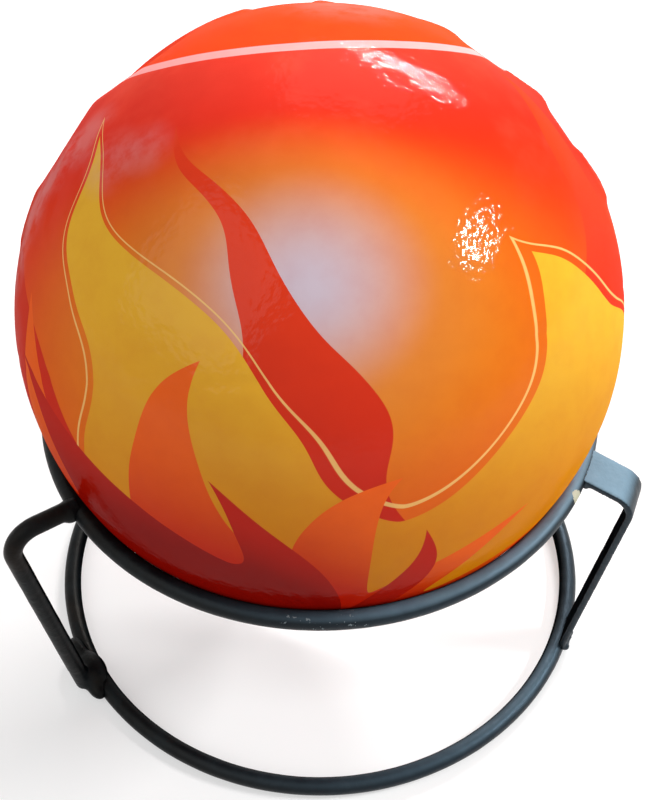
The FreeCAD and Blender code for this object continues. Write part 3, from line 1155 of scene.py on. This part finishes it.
@dataclass
class BarLeg(Leg):
    """Leg of round bar, welded to the outside of the base ring."""

    bar: float = 2.5 * MM
    arm_reach: float = 20 * MM
    foot_bite: float = 0.3 * MM
    foot_lift: float = 0.2 * MM
    bend_radius: float = 7 * MM
    bead_proud: float = 0.7 * MM
    soft_below: float = 13 * MM

    def corners(self) -> tuple[Vector, Vector, Vector]:
        """Start, corner and foot of the bar's middle line."""
        arm_z = self.upper.height + self.rise
        foot_radius = self.base.radius + self.base.rod + self.bar - self.foot_bite
        return (
            Vector((self.upper.radius, 0, arm_z)),
            Vector((self.upper.radius + self.arm_reach, 0, arm_z)),
            Vector((foot_radius, 0, self.base.height + self.foot_lift)),
        )

    def add_section(self, start: Vector) -> Piece:
        """Adds the bar's round section."""
        Shape.fresh()
        bpy.ops.mesh.primitive_circle_add(vertices=40, radius=self.bar, fill_type="NGON",
                                          location=start, rotation=(0, math.pi / 2, 0))
        piece = bpy.context.object
        Shape.apply_place(piece)
        return piece

    def beads(self) -> list[tuple[Vector, Vector]]:
        """Lumps of weld where the bar meets each ring."""
        arm_z = self.upper.height + self.rise
        size = self.bar + self.bead_proud
        top = Vector((self.upper.radius + self.upper.rod, 0, arm_z - self.rise / 2))
        low = Vector((self.base.radius + self.base.rod, 0, self.base.height + self.base.rod / 2))
        return [
            (top, Vector((size, size, size * 0.95))),
            (low + Vector((-0.28, -0.5, 0.3)) * size, Vector((1.36, 2.0, 1.40)) * size),
            (low + Vector((-0.25, -2.6, 0.4)) * size, Vector((0.75, 1.8, 1.1)) * size),
            (low + Vector((0.05, 1.0, -0.2)) * size, Vector((0.85, 1.4, 0.8)) * size),
        ]


@dataclass(frozen=True)
class Lamp:
    """Oblong lamp that faces the ball, its place seen from the ball's centre.

    Distance and size are in metres, and power is in watts.
    """

    name: str
    toward: tuple[float, float, float]
    distance: float
    size: tuple[float, float]
    power: float

    def add(self) -> None:
        """Adds the lamp to the scene."""
        toward = Vector(self.toward)
        data = bpy.data.lights.new(self.name, "AREA")
        data.shape = "RECTANGLE"
        data.size, data.size_y = self.size
        data.energy = self.power
        lamp = bpy.data.objects.new(self.name, data)
        lamp.location = ball_centre() + toward.normalized() * self.distance
        lamp.rotation_euler = (-toward).to_track_quat("-Z", "Y").to_euler()
        bpy.context.scene.collection.objects.link(lamp)


@dataclass
class Studio:
    """Camera, lamps, pale floor and white surroundings."""

    sensor_width: float = 36
    near_clip: float = 0.01
    floor_size: float = 6.0
    floor_colour: str = "c4c4c4"
    floor_second: str = "c0c0c0"
    floor_grain: float = 0.4
    floor_glow: float = 0.46
    shadow_reach: tuple[float, float] = (0.25, 0.9)
    room_level: float = 0.44
    lamps: tuple[Lamp, ...] = (
        Lamp("right_lamp", (0.80, -0.12, 0.585), 0.9, (0.26, 0.036), 6.0),
        Lamp("back_right_lamp", (0.40, 0.765, 0.505), 0.9, (0.36, 0.016), 8.0),
        Lamp("soft_back", (0.22, 0.78, 0.72), 1.3, (0.8, 0.8), 2.5),
        Lamp("soft_left", (-0.9, -0.5, 0.9), 1.6, (1.4, 1.4), 8.0),
    )

    def camera(self) -> None:
        """Puts the camera where the photograph was taken from."""
        data = bpy.data.cameras.new("camera")
        data.lens = VIEW_LENS
        data.sensor_width = self.sensor_width
        data.clip_start = self.near_clip
        camera = bpy.data.objects.new("camera", data)
        camera.location = ball_centre() + VIEW_DISTANCE * direction(
            VIEW_AZIMUTH_DEG - 90, VIEW_ELEVATION_DEG)
        camera.rotation_euler = (VIEW_AIM - camera.location).to_track_quat("-Z", "Y").to_euler()
        bpy.context.scene.collection.objects.link(camera)
        bpy.context.scene.camera = camera

    def seen(self, tree: bpy.types.NodeTree) -> Socket:
        """Tells the rays that look at things from those that light them.

        Args:
            tree: Node tree to build in.

        Returns:
            1 for rays from the camera, a gloss or a glass, and 0 for the others.
        """
        path = tree.nodes.new("ShaderNodeLightPath")
        total = path.outputs["Is Camera Ray"]
        for name in ("Is Glossy Ray", "Is Transmission Ray"):
            node = tree.nodes.new("ShaderNodeMath")
            node.operation = "MAXIMUM"
            tree.links.new(total, node.inputs[0])
            tree.links.new(path.outputs[name], node.inputs[1])
            total = node.outputs[0]
        return total

    def surroundings(self) -> None:
        """White all round for what looks at it, and a plain level of light from it."""
        world = bpy.data.worlds.new("surroundings")
        bpy.context.scene.world = world
        world.use_nodes = True
        tree = world.node_tree
        level = tree.nodes.new("ShaderNodeMapRange")
        tree.links.new(self.seen(tree), level.inputs["Value"])
        level.inputs["To Min"].default_value = self.room_level
        level.inputs["To Max"].default_value = 1.0
        tree.links.new(level.outputs["Result"], tree.nodes["Background"].inputs["Strength"])
        tree.nodes["Background"].inputs["Color"].default_value = (1, 1, 1, 1)

    def floor(self) -> None:
        """Pale floor that keeps the object's shadow and is white elsewhere."""
        Shape.fresh()
        bpy.ops.mesh.primitive_plane_add(size=self.floor_size)
        floor = bpy.context.object
        floor.name = "floor"
        sheet = NodeSheet("pale_floor")
        place = sheet.place()
        grain = sheet.noise(place, self.floor_grain)
        far = sheet.ease(sheet.vector("LENGTH", place), *self.shadow_reach)
        glow = sheet.scaled(far, 1 - self.floor_glow, self.floor_glow)
        sheet.surface(
            Base_Color=sheet.mix(grain, self.floor_colour, self.floor_second),
            Roughness=0.9,
            Specular_IOR_Level=0.0,
            Emission_Color=(1, 1, 1, 1),
            Emission_Strength=sheet.times(self.seen(sheet.tree), glow),
        )
        floor.data.materials.append(sheet.material)

    def build(self) -> None:
        """Sets up everything around the object."""
        self.camera()
        self.surroundings()
        self.floor()
        for lamp in self.lamps:
            lamp.add()
        bpy.context.scene.view_settings.view_transform = "Standard"


class InsideNode(Enum):
    """Pieces inside the ball that keep their CAD shape, and what each is filled or made of."""

    SHELL_UPPER = ("shell_upper", Filling.FOAM)
    SHELL_LOWER = ("shell_lower", Filling.FOAM)
    POWDER_FILL = ("powder_fill", Filling.POWDER)
    CHARGE_TUBE = ("charge_tube", Filling.CARD)
    BURST_CHARGE = ("burst_charge", Filling.CHARGE)
    TUBE_WAD = ("tube_wad", Filling.WAD)
    TUBE_PLUG = ("tube_plug", Filling.WAD)
    FUSE_RIGHT = ("fuse_right", Filling.FUSE)
    FUSE_REAR = ("fuse_rear", Filling.FUSE)
    FUSE_LEFT = ("fuse_left", Filling.FUSE)


def dress_inside() -> None:
    """Gives each piece inside the ball its material."""
    made = {filling: filling.make() for filling in Filling}
    for inside in InsideNode:
        node, filling = inside.value
        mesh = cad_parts[node].data
        mesh.materials.clear()
        mesh.materials.append(made[filling])
        log.info("%s dressed as %s", node, filling.name.lower())


def hand_over(piece: Piece, node: str, material: Material) -> None:
    """Dresses a finished piece and puts it in the place of its CAD node.

    Args:
        piece: The piece.
        node: Name of the CAD node that it replaces.
        material: The finish.
    """
    piece.data.materials.clear()
    piece.data.materials.append(material)
    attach(piece, BODY)
    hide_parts(node)
    log.info("%s: %d faces", piece.name, len(piece.data.polygons))


def main() -> None:
    """Builds the studio and the object."""
    logging.basicConfig(level=logging.INFO, format="%(message)s")
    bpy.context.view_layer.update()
    Studio().build()
    dress_inside()
    hand_over(FilmWrap().build(), "film_wrap", PrintedFilm().make())
    coat = BlackPaint(chips=(
        PaintChip((0.0618, -0.0394, 0.0794), 3.0 * MM, "b9b79e", 0.30),
        PaintChip((-0.004, -0.0715, 0.0808), 26 * MM, "737c80", 0.64),
    )).make()
    upper = WireRing("upper_ring", "stand_upper_ring", 11.0)
    base = WireRing("base_ring", "stand_base_ring", 23.0)
    for ring in (upper, base):
        hand_over(ring.build(), ring.node, coat)
    legs = (
        StrapLeg("leg_right", "stand_leg_right", -24.3, upper, base, 31.0),
        StrapLeg("leg_rear", "stand_leg_rear", 90.0, upper, base, 37.0),
        BarLeg("leg_left", "stand_leg_left", 208.0, upper, base, 41.0),
    )
    for leg in legs:
        hand_over(leg.build(leg.bend_radius), leg.node, coat)


if __name__ == "__main__":
    main()
